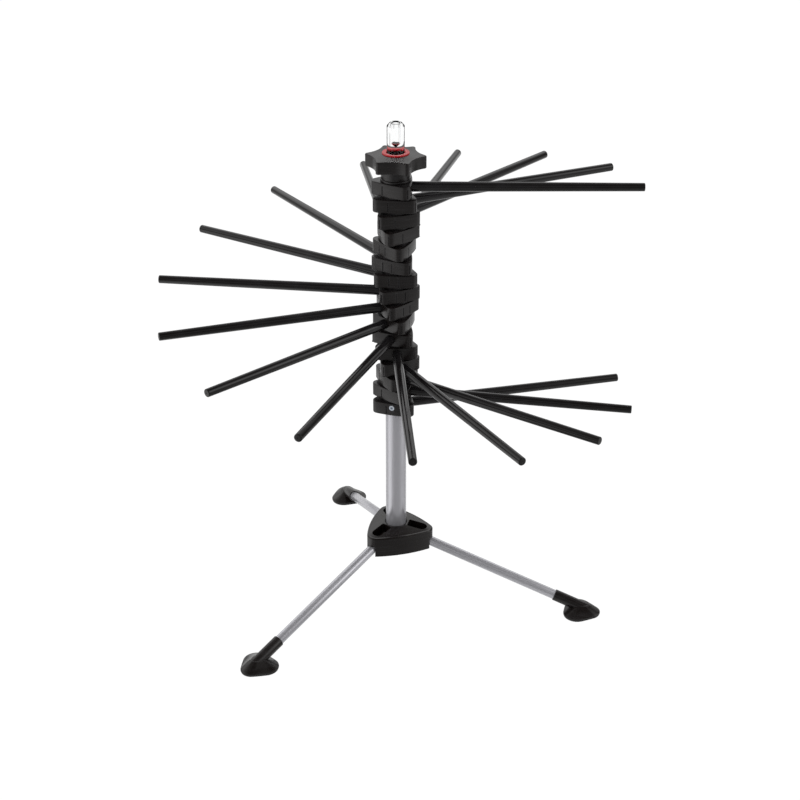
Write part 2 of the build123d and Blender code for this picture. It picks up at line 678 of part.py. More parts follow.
rod = arm_rod()
for number in range(1, ARM_COUNT + 1):
    write(f"arm_ring_{number:02d}", placed_ring(number))
    placed = Pos(0, 0, ring_height(number)) * radial(rod, arm_heading(number))
    write(f"arm_rod_{number:02d}", placed)

leg_pieces = {"leg_tube": leg_tube(), "leg_plug": leg_plug(), "foot": foot(), "foot_sole": foot_sole()}
for index, side in enumerate(LEG_NAMES):
    for piece, shape in leg_pieces.items():
        write(f"{piece}_{side}", radial(shape, leg_heading(index)))
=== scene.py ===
"""The look of a free-standing pasta drying rack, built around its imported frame.

Sixteen rods fan out in a spiral round an aluminium column on three folding legs.
Sizes are millimetres until a piece is finished, and metres in the scene.
"""

from __future__ import annotations

import logging
import math
from dataclasses import dataclass
from enum import Enum
from typing import Callable, Sequence

import bmesh
import bpy
from mathutils import Matrix, Vector


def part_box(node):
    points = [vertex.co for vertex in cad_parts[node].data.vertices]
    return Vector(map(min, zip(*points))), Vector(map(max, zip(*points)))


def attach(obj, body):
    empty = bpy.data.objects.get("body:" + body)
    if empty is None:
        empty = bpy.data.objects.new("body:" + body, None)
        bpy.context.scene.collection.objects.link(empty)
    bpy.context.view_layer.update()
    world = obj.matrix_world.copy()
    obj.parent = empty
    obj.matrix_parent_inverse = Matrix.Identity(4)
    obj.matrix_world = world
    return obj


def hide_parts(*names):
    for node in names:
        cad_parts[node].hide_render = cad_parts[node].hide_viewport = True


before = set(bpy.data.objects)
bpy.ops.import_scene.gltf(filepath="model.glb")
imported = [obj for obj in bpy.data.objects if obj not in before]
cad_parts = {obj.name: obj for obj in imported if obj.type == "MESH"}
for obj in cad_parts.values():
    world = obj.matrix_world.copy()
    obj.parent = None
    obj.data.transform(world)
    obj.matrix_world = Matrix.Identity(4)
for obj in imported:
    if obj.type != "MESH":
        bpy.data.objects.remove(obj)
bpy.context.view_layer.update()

LOG = logging.getLogger("rack")
MM = 0.001
WELD = 0.002
FULL_TURN = 2 * math.pi
LEGS = {"left": 226.39, "right": 346.39, "back": 106.39}
HOME = Matrix.Identity(4)
LAID = Matrix.Rotation(math.pi / 2, 4, "Y")

Colour = tuple[float, float, float, float]
Triple = tuple[float, float, float]
Pair = tuple[float, float]


class Slot(Enum):
    """The record's material slots."""

    SATIN = "satin_black"
    GLOSS = "gloss_black"
    ANODISED = "anodised"
    STEEL = "steel"
    RUBBER = "rubber"
    CLEAR = "clear"
    RED = "red"


class Value:
    """A number socket that takes part in Python arithmetic."""

    def __init__(self, paint: Paint, socket: bpy.types.NodeSocket) -> None:
        """Wrap a socket of a paint's node tree."""
        self.paint = paint
        self.socket = socket

    def _math(self, operation: str, *others: Value | float) -> Value:
        """Add a Math node on this value and the others."""
        return self.paint.node("Math", {"operation": operation}, *others)

    def __add__(self, other: Value | float) -> Value:
        """Sum."""
        return self._math("ADD", self, other)

    def __sub__(self, other: Value | float) -> Value:
        """Difference."""
        return self._math("SUBTRACT", self, other)

    def __rsub__(self, other: float) -> Value:
        """Difference from a plain number."""
        return self._math("SUBTRACT", other, self)

    def __mul__(self, other: Value | float) -> Value:
        """Product."""
        return self._math("MULTIPLY", self, other)

    __radd__ = __add__
    __rmul__ = __mul__

    def between(self, low: float, high: float) -> Value:
        """This value, from 0 to 1, laid out between two numbers."""
        return self * (high - low) + low

    def clamped(self) -> Value:
        """This value held between 0 and 1."""
        return self.paint.node("Clamp", {}, self)


class Paint:
    """The node tree of one material or world under construction."""

    def __init__(self, owner: bpy.types.Material | bpy.types.World) -> None:
        """Empty the node tree of the material or world that is painted."""
        owner.use_nodes = True
        self.owner = owner
        self.tree = owner.node_tree
        self.tree.nodes.clear()

    @classmethod
    def named(cls, name: str) -> Paint:
        """Start a new material."""
        return cls(bpy.data.materials.new(name))

    def node(
        self, kind: str, settings: dict[str, object], *values: object, output: int | str = 0, **named: object
    ) -> Value:
        """Add any node.

        Args:
            kind: the node's type name without ShaderNode.
            settings: properties set before the inputs are filled.
            values: values or links of the first inputs, in order.
            output: the output to hand back.
            named: values or links of inputs by name, with _ for a space.

        Returns:
            The chosen output.
        """
        made = self.tree.nodes.new("ShaderNode" + kind)
        for key, setting in settings.items():
            if key == "stops":
                self._set_stops(made, setting)
            else:
                setattr(made, key, setting)
        for place, value in enumerate(values):
            self._fill(made.inputs[place], value)
        for key, value in named.items():
            self._fill(made.inputs[key.replace("_", " ")], value)
        return Value(self, made.outputs[output])

    def close(self, shader: Value, kind: str = "OutputMaterial") -> None:
        """Send a shader to the tree's output."""
        self.tree.links.new(shader.socket, self.tree.nodes.new("ShaderNode" + kind).inputs[0])

    def _fill(self, socket: bpy.types.NodeSocket, value: object) -> None:
        """Link a value to a socket, or set the socket to a constant."""
        if isinstance(value, Value):
            self.tree.links.new(value.socket, socket)
        else:
            socket.default_value = value

    def _set_stops(self, ramp: bpy.types.Node, stops: object) -> None:
        """Give a colour ramp its (position, grey) stops."""
        elements = ramp.color_ramp.elements
        while len(elements) < len(stops):
            elements.new(1.0)
        for element, (position, grey) in zip(elements, stops):
            element.position = position
            element.color = (grey, grey, grey, 1.0)

    def object_place(self) -> Value:
        """The point in the object's own coordinates, in metres."""
        return self.node("TexCoord", {}, output="Object")

    def own_place(self) -> Value:
        """The point in the piece's own frame, in metres, as its mesh recorded it."""
        return self.node("Attribute", {"attribute_name": "own"}, output="Vector")

    def edge(self) -> Value:
        """How sharply the mesh turns at the point, 0 on a flat and 1 at a square edge."""
        return self.node("Attribute", {"attribute_name": "edge"}, output="Fac")

    def stretched(self, place: Value, scale: Triple) -> Value:
        """A place with each axis scaled, for patterns that run one way."""
        return self.node("Mapping", {}, place, Scale=scale)

    def noise(self, place: Value, scale: float, detail: float = 2.0) -> Value:
        """Noise at a scale given as features per metre."""
        return self.node("TexNoise", {}, Vector=place, Scale=scale, Detail=detail)

    def ranged(self, value: Value, source: Pair, target: Pair) -> Value:
        """Lay one range of a value out over another, and hold it at the ends."""
        ends = {"From_Min": source[0], "From_Max": source[1], "To_Min": target[0], "To_Max": target[1]}
        return self.node("MapRange", {}, value, **ends)

    def ramp(self, value: Value, *stops: Pair) -> Value:
        """Map a value through grey stops."""
        return self.node("ValToRGB", {"stops": stops}, value)

    def mix(self, factor: Value, low: Colour, high: Colour) -> Value:
        """Mix two colours."""
        made = self.tree.nodes.new("ShaderNodeMix")
        made.data_type = "RGBA"
        self._fill(made.inputs[0], factor)
        self._fill(made.inputs[6], low)
        self._fill(made.inputs[7], high)
        return Value(self, made.outputs[2])

    def bump(self, height: Value, depth_mm: float) -> Value:
        """A normal from a height between 0 and 1, at a real depth."""
        return self.node("Bump", {}, Strength=1.0, Distance=depth_mm * MM, Height=height)

    def principled(self, **inputs: object) -> bpy.types.Material:
        """Close the material with one Principled shader.

        Args:
            inputs: values or links by input name, with _ for a space.

        Returns:
            The finished material.
        """
        self.close(self.node("BsdfPrincipled", {}, **inputs))
        return self.owner


def rgba(red: float, green: float, blue: float) -> Colour:
    """An opaque colour."""
    return (red, green, blue, 1.0)


WHITE = rgba(1, 1, 1)


@dataclass(frozen=True)
class SatinMoulding:
    """Black moulded plastic with a fine spark-eroded grain and rubbed edges, and lighter horizontal streaks
    painted into its colour as sheen.
    """

    colour: Colour = rgba(0.0056, 0.0034, 0.0028)
    # Colour of the rubbed edges, also used for the painted sheen streaks.
    wear_and_sheen: Colour = rgba(0.020, 0.018, 0.019)
    roughness: Pair = (0.22, 0.32)
    grain: float = 2600.0
    grain_depth_mm: float = 0.008
    cloud: float = 55.0
    wear_cloud: float = 330.0
    wear_gain: float = 1.8
    wear_share: float = 0.8
    # Stretch of the painted sheen streaks, which run level round the piece.
    sheen_streaks: Triple = (45.0, 45.0, 800.0)
    # How much of the painted sheen goes into the colour.
    sheen_streak_share: float = 0.42

    def material(self) -> bpy.types.Material:
        """Build the material."""
        paint = Paint.named("satin_moulding")
        place = paint.object_place()
        grain = paint.noise(place, self.grain)
        cloud = paint.noise(place, self.cloud, 4.0)
        # Painted sheen: lighter horizontal streaks mixed into the colour, added to the real edge wear below.
        level = paint.noise(paint.stretched(place, self.sheen_streaks), 1.0, 3.0)
        sheen_streaks = paint.ramp(level, (0.45, 0.0), (0.72, 1.0))
        worn = (paint.edge() * self.wear_gain * paint.noise(place, self.wear_cloud)).clamped()
        wear_and_sheen = (worn * self.wear_share + sheen_streaks * self.sheen_streak_share).clamped()
        return paint.principled(
            Base_Color=paint.mix(wear_and_sheen, self.colour, self.wear_and_sheen),
            Roughness=cloud.between(*self.roughness),
            Normal=paint.bump(grain, self.grain_depth_mm),
        )


@dataclass(frozen=True)
class PolishedRod:
    """Glossy black rod with faint lines drawn along it and light scuffs."""

    colour: Colour = rgba(0.0042, 0.0031, 0.0028)
    scuffed: Colour = rgba(0.012, 0.011, 0.012)
    roughness: Pair = (0.08, 0.18)
    lines: Triple = (9.0, 1300.0, 1300.0)
    line_depth_mm: float = 0.004
    cloud: float = 90.0
    wear_gain: float = 1.5
    scuff_share: float = 0.5

    def material(self) -> bpy.types.Material:
        """Build the material."""
        paint = Paint.named("polished_rod")
        place = paint.own_place()
        lines = paint.noise(paint.stretched(place, self.lines), 1.0, 3.0)
        cloud = paint.noise(place, self.cloud, 4.0)
        scuffs = paint.ramp(cloud * lines * 2.0, (0.5, 0.0), (0.85, 1.0))
        worn = (paint.edge() * self.wear_gain * cloud + scuffs * self.scuff_share).clamped()
        return paint.principled(
            Base_Color=paint.mix(worn, self.colour, self.scuffed),
            Roughness=cloud.between(*self.roughness),
            Normal=paint.bump(lines, self.line_depth_mm),
        )


@dataclass(frozen=True)
class AnodisedTube:
    """Satin anodised aluminium with drawn lines along the tube."""

    colour: Colour = rgba(0.62, 0.615, 0.65)
    shaded: Colour = rgba(0.54, 0.535, 0.57)
    metallic: float = 0.6
    roughness: Pair = (0.19, 0.25)
    lines: Triple = (1100.0, 1100.0, 9.0)
    line_depth_mm: float = 0.0006
    cloud: float = 40.0

    def material(self) -> bpy.types.Material:
        """Build the material."""
        paint = Paint.named("anodised_tube")
        place = paint.own_place()
        lines = paint.noise(paint.stretched(place, self.lines), 1.0, 2.0)
        cloud = paint.noise(place, self.cloud, 3.0)
        return paint.principled(
            Base_Color=paint.mix(lines * 0.5 + cloud * 0.5, self.shaded, self.colour),
            Metallic=self.metallic,
            Roughness=lines.between(*self.roughness),
            Normal=paint.bump(lines, self.line_depth_mm),
        )


@dataclass(frozen=True)
class ClearRod:
    """Polished clear plastic with a few hair scratches."""

    tint: Colour = rgba(0.985, 0.99, 0.99)
    index: float = 1.21
    roughness: Pair = (0.0, 0.02)
    scratches: Triple = (420.0, 420.0, 60.0)
    scratch_depth_mm: float = 0.0006

    def material(self) -> bpy.types.Material:
        """Build the material."""
        paint = Paint.named("clear_rod")
        marks = paint.noise(paint.stretched(paint.own_place(), self.scratches), 1.0, 2.0)
        return paint.principled(
            Base_Color=self.tint,
            IOR=self.index,
            Transmission_Weight=1.0,
            Roughness=marks.between(*self.roughness),
            Normal=paint.bump(marks, self.scratch_depth_mm),
        )


@dataclass(frozen=True)
class SoftRubber:
    """Matt black rubber with a fine pebbled skin."""

    colour: Colour = rgba(0.012, 0.012, 0.012)
    dusty: Colour = rgba(0.028, 0.027, 0.026)
    roughness: Pair = (0.68, 0.83)
    cloud: float = 120.0
    grain: float = 1500.0
    grain_depth_mm: float = 0.03

    def material(self) -> bpy.types.Material:
        """Build the material."""
        paint = Paint.named("soft_rubber")
        place = paint.object_place()
        cloud = paint.noise(place, self.cloud, 4.0)
        grain = paint.noise(place, self.grain)
        return paint.principled(
            Base_Color=paint.mix(cloud, self.colour, self.dusty),
            Roughness=cloud.between(*self.roughness),
            Normal=paint.bump(grain, self.grain_depth_mm),
        )


@dataclass(frozen=True)
class Mottled:
    """A finish whose colour, roughness and skin follow one noise."""

    name: str
    low: Colour
    high: Colour
    roughness: Pair
    scale: float
    depth_mm: float
    metallic: float = 0.0

    def material(self) -> bpy.types.Material:
        """Build the material."""
        paint = Paint.named(self.name)
        marks = paint.noise(paint.object_place(), self.scale, 3.0)
        return paint.principled(
            Base_Color=paint.mix(marks, self.low, self.high),
            Metallic=self.metallic,
            Roughness=marks.between(*self.roughness),
            Normal=paint.bump(marks, self.depth_mm),
        )


STEEL = Mottled(
    "turned_steel", rgba(0.66, 0.72, 0.80), rgba(0.86, 0.91, 0.97), (0.20, 0.38), 2400.0, 0.008, 0.7
)
RED_PLASTIC = Mottled(
    "gloss_plastic", rgba(0.32, 0.004, 0.008), rgba(0.48, 0.006, 0.012), (0.16, 0.26), 160.0, 0.02
)


class Finishes:
    """One material for each slot, made once."""

    def __init__(self) -> None:
        """Build them all."""
        self.by_slot = {
            Slot.SATIN: SatinMoulding().material(),
            Slot.GLOSS: PolishedRod().material(),
            Slot.ANODISED: AnodisedTube().material(),
            Slot.STEEL: STEEL.material(),
            Slot.RUBBER: SoftRubber().material(),
            Slot.CLEAR: ClearRod().material(),
            Slot.RED: RED_PLASTIC.material(),
        }

    def dress_nodes(self, slot: Slot, *nodes: str) -> None:
        """Give frame nodes that keep their mesh the material of a slot."""
        for node in nodes:
            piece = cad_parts[node]
            piece.data.materials.clear()
            piece.data.materials.append(self.by_slot[slot])
            LOG.info("%s keeps its frame mesh in %s", node, slot.value)


def linked(name: str, data: bpy.types.ID) -> bpy.types.Object:
    """A new object in the scene."""
    made = bpy.data.objects.new(name, data)
    bpy.context.scene.collection.objects.link(made)
    return made


def spot(reach: float, heading_deg: float, height: float = 0.0) -> Vector:
    """The point at a distance from the axis and a compass angle."""
    turn = math.radians(heading_deg)
    return Vector((reach * math.cos(turn), reach * math.sin(turn), height))


def span(node: str) -> Pair:
    """The heights of a frame node's underside and top, in millimetres."""
    low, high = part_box(node)
    return low.z / MM, high.z / MM


def pipe(outer: float, inner: float, bottom: float, top: float) -> tuple[Pair, ...]:
    """The (radius, height) profile of a pipe or ring."""
    return ((outer, bottom), (outer, top), (inner, top), (inner, bottom))


def smooth(before: float, start: float, end: float, after: float, share: float) -> float:
    """A number between start and end on a smooth curve through all four."""
    leave, arrive = (end - before) / 2, (after - start) / 2
    square, cube = share**2, share**3
    return (
        start * (2 * cube - 3 * square + 1)
        + leave * (cube - 2 * square + share)
        + end * (3 * square - 2 * cube)
        + arrive * (cube - square)
    )


def turned_about_z(heading_deg: float, height: float = 0.0) -> Matrix:
    """Turn a piece made along +X to a compass angle and lift it."""
    lift = Matrix.Translation((0, 0, height))
    return lift @ Matrix.Rotation(math.radians(heading_deg), 4, "Z")


class Blank:
    """A mesh under construction, in millimetres and in the piece's own frame."""

    def __init__(self) -> None:
        """Start with nothing."""
        self.bm = bmesh.new()

    def as_mesh(self, name: str) -> bpy.types.Mesh:
        """Hand the faces over to a new mesh."""
        mesh = bpy.data.meshes.new(name)
        self.bm.to_mesh(mesh)
        self.bm.free()
        return mesh

    def sweep(
        self, geom: Sequence[object], centre: Vector, angle: float, steps: int, merge: bool = False
    ) -> None:
        """Turn parts of the mesh about an upright axis, drawing what they pass over."""
        bmesh.ops.spin(
            self.bm, geom=geom, cent=centre, axis=(0, 0, 1), angle=angle, steps=steps, use_merge=merge
        )

    def loop(self, outline: Outline, height: float) -> list[bmesh.types.BMEdge]:
        """Draw a closed outline at a height and hand back its edges."""
        known = set(self.bm.edges)
        drawn = set(self.bm.verts)
        outline.draw(self, height)
        fresh = [vertex for vertex in self.bm.verts if vertex not in drawn]
        bmesh.ops.remove_doubles(self.bm, verts=fresh, dist=WELD)
        return [edge for edge in self.bm.edges if edge not in known]

    def skin(self, loops: Sequence[Sequence[bmesh.types.BMEdge]], closed: bool) -> None:
        """Bridge each loop to the next, and the last to the first if closed."""
        followers = list(loops[1:]) + ([loops[0]] if closed else [])
        for low, high in zip(loops, followers):
            bmesh.ops.bridge_loops(self.bm, edges=list(low) + list(high))

    def cap(self, loop: Sequence[bmesh.types.BMEdge]) -> None:
        """Close a loop with one face."""
        bmesh.ops.contextual_create(self.bm, geom=list(loop))

    def turned(self, profile: Sequence[Pair], closed: bool = False, steps: int = 96) -> Blank:
        """Spin a profile of (radius, height) points about +Z.

        Args:
            profile: the points, outward side first.
            closed: whether the last point joins the first, as in a ring.
            steps: how many steps make the full turn.

        Returns:
            This blank.
        """
        points = [self.bm.verts.new((radius, 0, height)) for radius, height in profile]
        pairs = list(zip(points, points[1:])) + ([(points[-1], points[0])] if closed else [])
        lines = [self.bm.edges.new(pair) for pair in pairs]
        self.sweep(points + lines, Vector(), FULL_TURN, steps, merge=True)
        return self.closed_up()

    def closed_up(self) -> Blank:
        """Merge doubles and point the faces outwards."""
        bmesh.ops.remove_doubles(self.bm, verts=self.bm.verts, dist=WELD)
        bmesh.ops.recalc_face_normals(self.bm, faces=self.bm.faces)
        if self.bm.calc_volume(signed=True) < 0:
            bmesh.ops.reverse_faces(self.bm, faces=self.bm.faces)
        return self

    def soften(
        self,
        width: float,
        where: Callable[[Vector], bool] = lambda point: True,
        steps: int = 3,
        least_deg: float = 40.0,
    ) -> Blank:
        """Round the sharp edges that a test picks.

        Args:
            width: the bevel's width.
            where: takes an edge's middle and says whether it is rounded.
            steps: how many faces make the rounding.
            least_deg: the smallest turn that counts as sharp.

        Returns:
            This blank.
        """
        least = math.radians(least_deg)
        edges = [
            edge
            for edge in self.bm.edges
            if len(edge.link_faces) == 2
            and edge.calc_face_angle() > least
            and where((edge.verts[0].co + edge.verts[1].co) / 2)
        ]
        rounding = {"segments": steps, "profile": 0.5, "material": -1, "clamp_overlap": True}
        bmesh.ops.bevel(self.bm, geom=edges, offset=width, affect="EDGES", **rounding)
        return self

    def cut_below(self, height: float) -> Blank:
        """Take off everything under a height and close the cut."""
        geom = [*self.bm.verts, *self.bm.edges, *self.bm.faces]
        cut = bmesh.ops.bisect_plane(
            self.bm, geom=geom, plane_co=(0, 0, height), plane_no=(0, 0, 1), clear_inner=True
        )
        edges = [part for part in cut["geom_cut"] if isinstance(part, bmesh.types.BMEdge)]
        bmesh.ops.holes_fill(self.bm, edges=edges, sides=0)
        return self.closed_up()

    def joined(self, other: Blank) -> Blank:
        """Take in another blank's faces."""
        spare = other.as_mesh("spare")
        self.bm.from_mesh(spare)
        bpy.data.meshes.remove(spare)
        return self

    def drilled(self, *cutters: Blank) -> Blank:
        """Cut other blanks out of this one."""
        meshes = [blank.as_mesh("spare") for blank in (self, *cutters)]
        things = [linked("spare", mesh) for mesh in meshes]
        for cutter in things[1:]:
            change = things[0].modifiers.new("cut", "BOOLEAN")
            change.operation = "DIFFERENCE"
            change.solver = "MANIFOLD"
            change.object = cutter
        seen = things[0].evaluated_get(bpy.context.evaluated_depsgraph_get())
        self.bm = bmesh.new()
        self.bm.from_mesh(seen.to_mesh())
        for thing in things:
            bpy.data.objects.remove(thing)
        for mesh in meshes:
            bpy.data.meshes.remove(mesh)
        return self.closed_up()

    def boxed(self, size: Sequence[float], middle: Vector) -> Blank:
        """Add a box of a size round a middle point."""
        matrix = Matrix.Translation(middle) @ Matrix.Diagonal((*size, 1.0))
        bmesh.ops.create_cube(self.bm, size=1.0, matrix=matrix)
        return self

    def barred(self, radius: float, length: float) -> Blank:
        """Add a round bar along +Z with its middle on the origin."""
        bmesh.ops.create_cone(
            self.bm, cap_ends=True, segments=48, radius1=radius, radius2=radius, depth=length
        )
        return self

    def moved(self, matrix: Matrix) -> Blank:
        """Move the blank within its own frame."""
        bmesh.ops.transform(self.bm, matrix=matrix, verts=self.bm.verts)
        return self

    def record(self) -> None:
        """Write each point's own place and edge sharpness to the mesh."""
        own = self.bm.verts.layers.float_vector.new("own")
        sharp = self.bm.verts.layers.float.new("edge")
        self.bm.normal_update()
        for vertex in self.bm.verts:
            vertex[own] = vertex.co * MM
            turns = [edge.calc_face_angle(0.0) for edge in vertex.link_edges]
            vertex[sharp] = min(1.0, max(turns, default=0.0) / (math.pi / 2))

    def piece(
        self, name: str, place: Matrix, body: str, slot: Slot, finishes: Finishes, node: str
    ) -> None:
        """Finish the mesh as a piece of the rack.

        Args:
            name: the piece's name.
            place: from its own frame to the rack's, in millimetres.
            body: the body it rides on.
            slot: its finish.
            finishes: the materials.
            node: the frame node it stands for.
        """
        self.record()
        bmesh.ops.transform(self.bm, matrix=Matrix.Scale(MM, 4) @ place, verts=self.bm.verts)
        for face in self.bm.faces:
            face.smooth = True
        mesh = self.as_mesh(name)
        mesh.set_sharp_from_angle(angle=math.radians(34))
        mesh.materials.append(finishes.by_slot[slot])
        made = linked(name, mesh)
        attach(made, body)
        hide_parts(node)
        LOG.info("%s rides on %s with %d faces", name, body, len(mesh.polygons))


@dataclass(frozen=True)
class Arc:
    """A level arc round a centre."""

    start: Vector
    centre: Vector
    angle: float
    steps: int

    @classmethod
    def between(cls, start: Vector, centre: Vector, end: Vector, steps: int, way: int = 1) -> Arc:
        """The arc from a start to an end point; a way of -1 runs clockwise."""
        angle = abs((start - centre).xy.angle_signed((end - centre).xy))
        return cls(start, centre, way * angle, steps)


class Outline:
    """A closed outline of arcs that come again at each of its turns."""

    turns = 1

    def arcs(self) -> Sequence[Arc]:
        """The arcs of the first turn."""
        raise NotImplementedError

    @property
    def steps(self) -> int:
        """How many edges the outline has."""
        return self.turns * sum(arc.steps for arc in self.arcs())

    def draw(self, blank: Blank, height: float) -> None:
        """Draw every arc at a height."""
        lift = Vector((0, 0, height))
        arcs = self.arcs()
        for number in range(self.turns):
            turn = Matrix.Rotation(number * FULL_TURN / self.turns, 3, "Z")
            for arc in arcs:
                start = blank.bm.verts.new(turn @ arc.start + lift)
                blank.sweep([start], turn @ arc.centre + lift, arc.angle, arc.steps)


@dataclass(frozen=True)
class Round(Outline):
    """A circle on the axis."""

    radius: float
    edges: int
    start_deg: float

    def arcs(self) -> Sequence[Arc]:
        """One arc of a full turn."""
        return (Arc(spot(self.radius, self.start_deg), Vector(), FULL_TURN, self.edges),)


@dataclass(frozen=True)
class BowedTriangle(Outline):
    """Three bowed sides with rounded corners, one corner at the heading."""

    corner_reach: float
    side_reach: float
    corner_round: float
    heading_deg: float
    corner_steps: int = 12
    side_steps: int = 20
    turns = 3

    @property
    def start_deg(self) -> float:
        """The compass angle of the outline's first point."""
        first = self._tangent(-1)
        return math.degrees(math.atan2(first.y, first.x))

    def _bow(self) -> tuple[float, float]:
        """Radius of a bowed side, and how far its centre lies behind the axis."""
        half_chord = self.corner_reach * math.sin(math.pi / 3)
        rise = self.side_reach - self.corner_reach * math.cos(math.pi / 3)
        radius = (half_chord**2 + rise**2) / (2 * rise)
        return radius, radius - self.side_reach

    def reach_at(self, compass_deg: float) -> float:
        """How far the plan reaches at a compass angle."""
        turn = (compass_deg - self.heading_deg + 60.0) % 120.0 - 60.0
        corner, side = self._corner_centre().length, abs(turn) - 60.0
        radius, back = self._bow()
        along = math.radians(side)
        bowed = math.sqrt(radius**2 - (back * math.sin(along)) ** 2) - back * math.cos(along)
        across = corner * math.sin(math.radians(turn))
        if abs(across) >= self.corner_round:
            return bowed
        rounded = corner * math.cos(math.radians(turn)) + math.sqrt(self.corner_round**2 - across**2)
        return min(bowed, rounded)

    def _corner_centre(self) -> Vector:
        """Centre of the rounding of the first corner."""
        radius, back = self._bow()
        inner = radius - self.corner_round
        reach = math.sqrt(inner**2 - (back * math.sin(math.pi / 3)) ** 2) - back / 2
        return spot(reach, self.heading_deg)

    def _side_centre(self, side: int) -> Vector:
        """Centre of the bowed side after (1) or before (-1) the first corner."""
        _, back = self._bow()
        return -spot(back, self.heading_deg + side * 60)

    def _tangent(self, side: int) -> Vector:
        """Where the first corner's rounding meets the side after or before it."""
        radius, _ = self._bow()
        centre = self._side_centre(side)
        along = (self._corner_centre() - centre).normalized()
        return centre + along * radius

    def arcs(self) -> Sequence[Arc]:
        """A corner and the side that follows it."""
        first, second = self._tangent(-1), self._tangent(1)
        following = Matrix.Rotation(FULL_TURN / 3, 3, "Z") @ first
        return (
            Arc.between(first, self._corner_centre(), second, self.corner_steps),
            Arc.between(second, self._side_centre(1), following, self.side_steps),
        )


@dataclass(frozen=True)
class Star(Outline):
    """Rounded points with hollow sides between them."""

    reach: float
    valley_reach: float
    point_round: float
    heading_deg: float
    point_steps: int = 6
    valley_steps: int = 10
    turns = 6

    def arcs(self) -> Sequence[Arc]:
        """A point and the hollow that follows it."""
        half = math.pi / self.turns
        half_deg = math.degrees(half)
        tip = spot(self.reach, self.heading_deg)
        hollow_at = (self.reach**2 - self.valley_reach**2) / (
            2 * (self.reach * math.cos(half) - self.valley_reach)
        )
        hollow = spot(hollow_at, self.heading_deg + half_deg)
        radius = (tip - hollow).length
        centre_at = hollow_at * math.cos(half) - math.sqrt(
            (radius + self.point_round) ** 2 - (hollow_at * math.sin(half)) ** 2
        )
        centre = spot(centre_at, self.heading_deg)
        after = centre + (hollow - centre).normalized() * self.point_round
        hollow_before = spot(hollow_at, self.heading_deg - half_deg)
        before = centre + (hollow_before - centre).normalized() * self.point_round
        following = Matrix.Rotation(2 * half, 3, "Z") @ before
        return (
            Arc.between(before, centre, after, self.point_steps),
            Arc.between(after, hollow, following, self.valley_steps, way=-1),
        )


@dataclass(frozen=True)
class PadOutline(Outline):
    """Plan of a foot's pad along +X: a rounded tip, two corners, lightly bowed sides."""

    tip_x: float
    tip_round: float
    corner_x: float
    corner_y: float
    corner_round: float
    bow: float = 150.0
    corner_steps: int = 16
    side_steps: int = 12

    def _bow_centre(self, first: tuple[Vector, float], second: tuple[Vector, float]) -> Vector:
        """Centre of the bowed side from one rounding to the next."""
        apart = second[0] - first[0]
        along = apart.normalized()
        inward = Vector((-along.y, along.x, 0))
        near, far = self.bow - first[1], self.bow - second[1]
        shift = (near**2 - far**2 + apart.length_squared) / (2 * apart.length)
        return first[0] + along * shift + inward * math.sqrt(near**2 - shift**2)

    def arcs(self) -> Sequence[Arc]:
        """Each rounding and the side that follows it."""
        rounds = [
            (Vector((self.tip_x - self.tip_round, 0, 0)), self.tip_round),
            (Vector((self.corner_x, self.corner_y, 0)), self.corner_round),
            (Vector((self.corner_x, -self.corner_y, 0)), self.corner_round),
        ]
        bows = [self._bow_centre(rounds[k], rounds[(k + 1) % 3]) for k in range(3)]

        def touch(number: int, bow: Vector) -> Vector:
            """Where a rounding meets a bowed side."""
            centre, radius = rounds[number % 3]
            return centre + (centre - bow).normalized() * radius

        arcs = []
        for number, (centre, _) in enumerate(rounds):
            start, end = touch(number, bows[number - 1]), touch(number, bows[number])
            arcs.append(Arc.between(start, centre, end, self.corner_steps))
            following = touch(number + 1, bows[number])
            arcs.append(Arc.between(end, bows[number], following, self.side_steps))
        return arcs


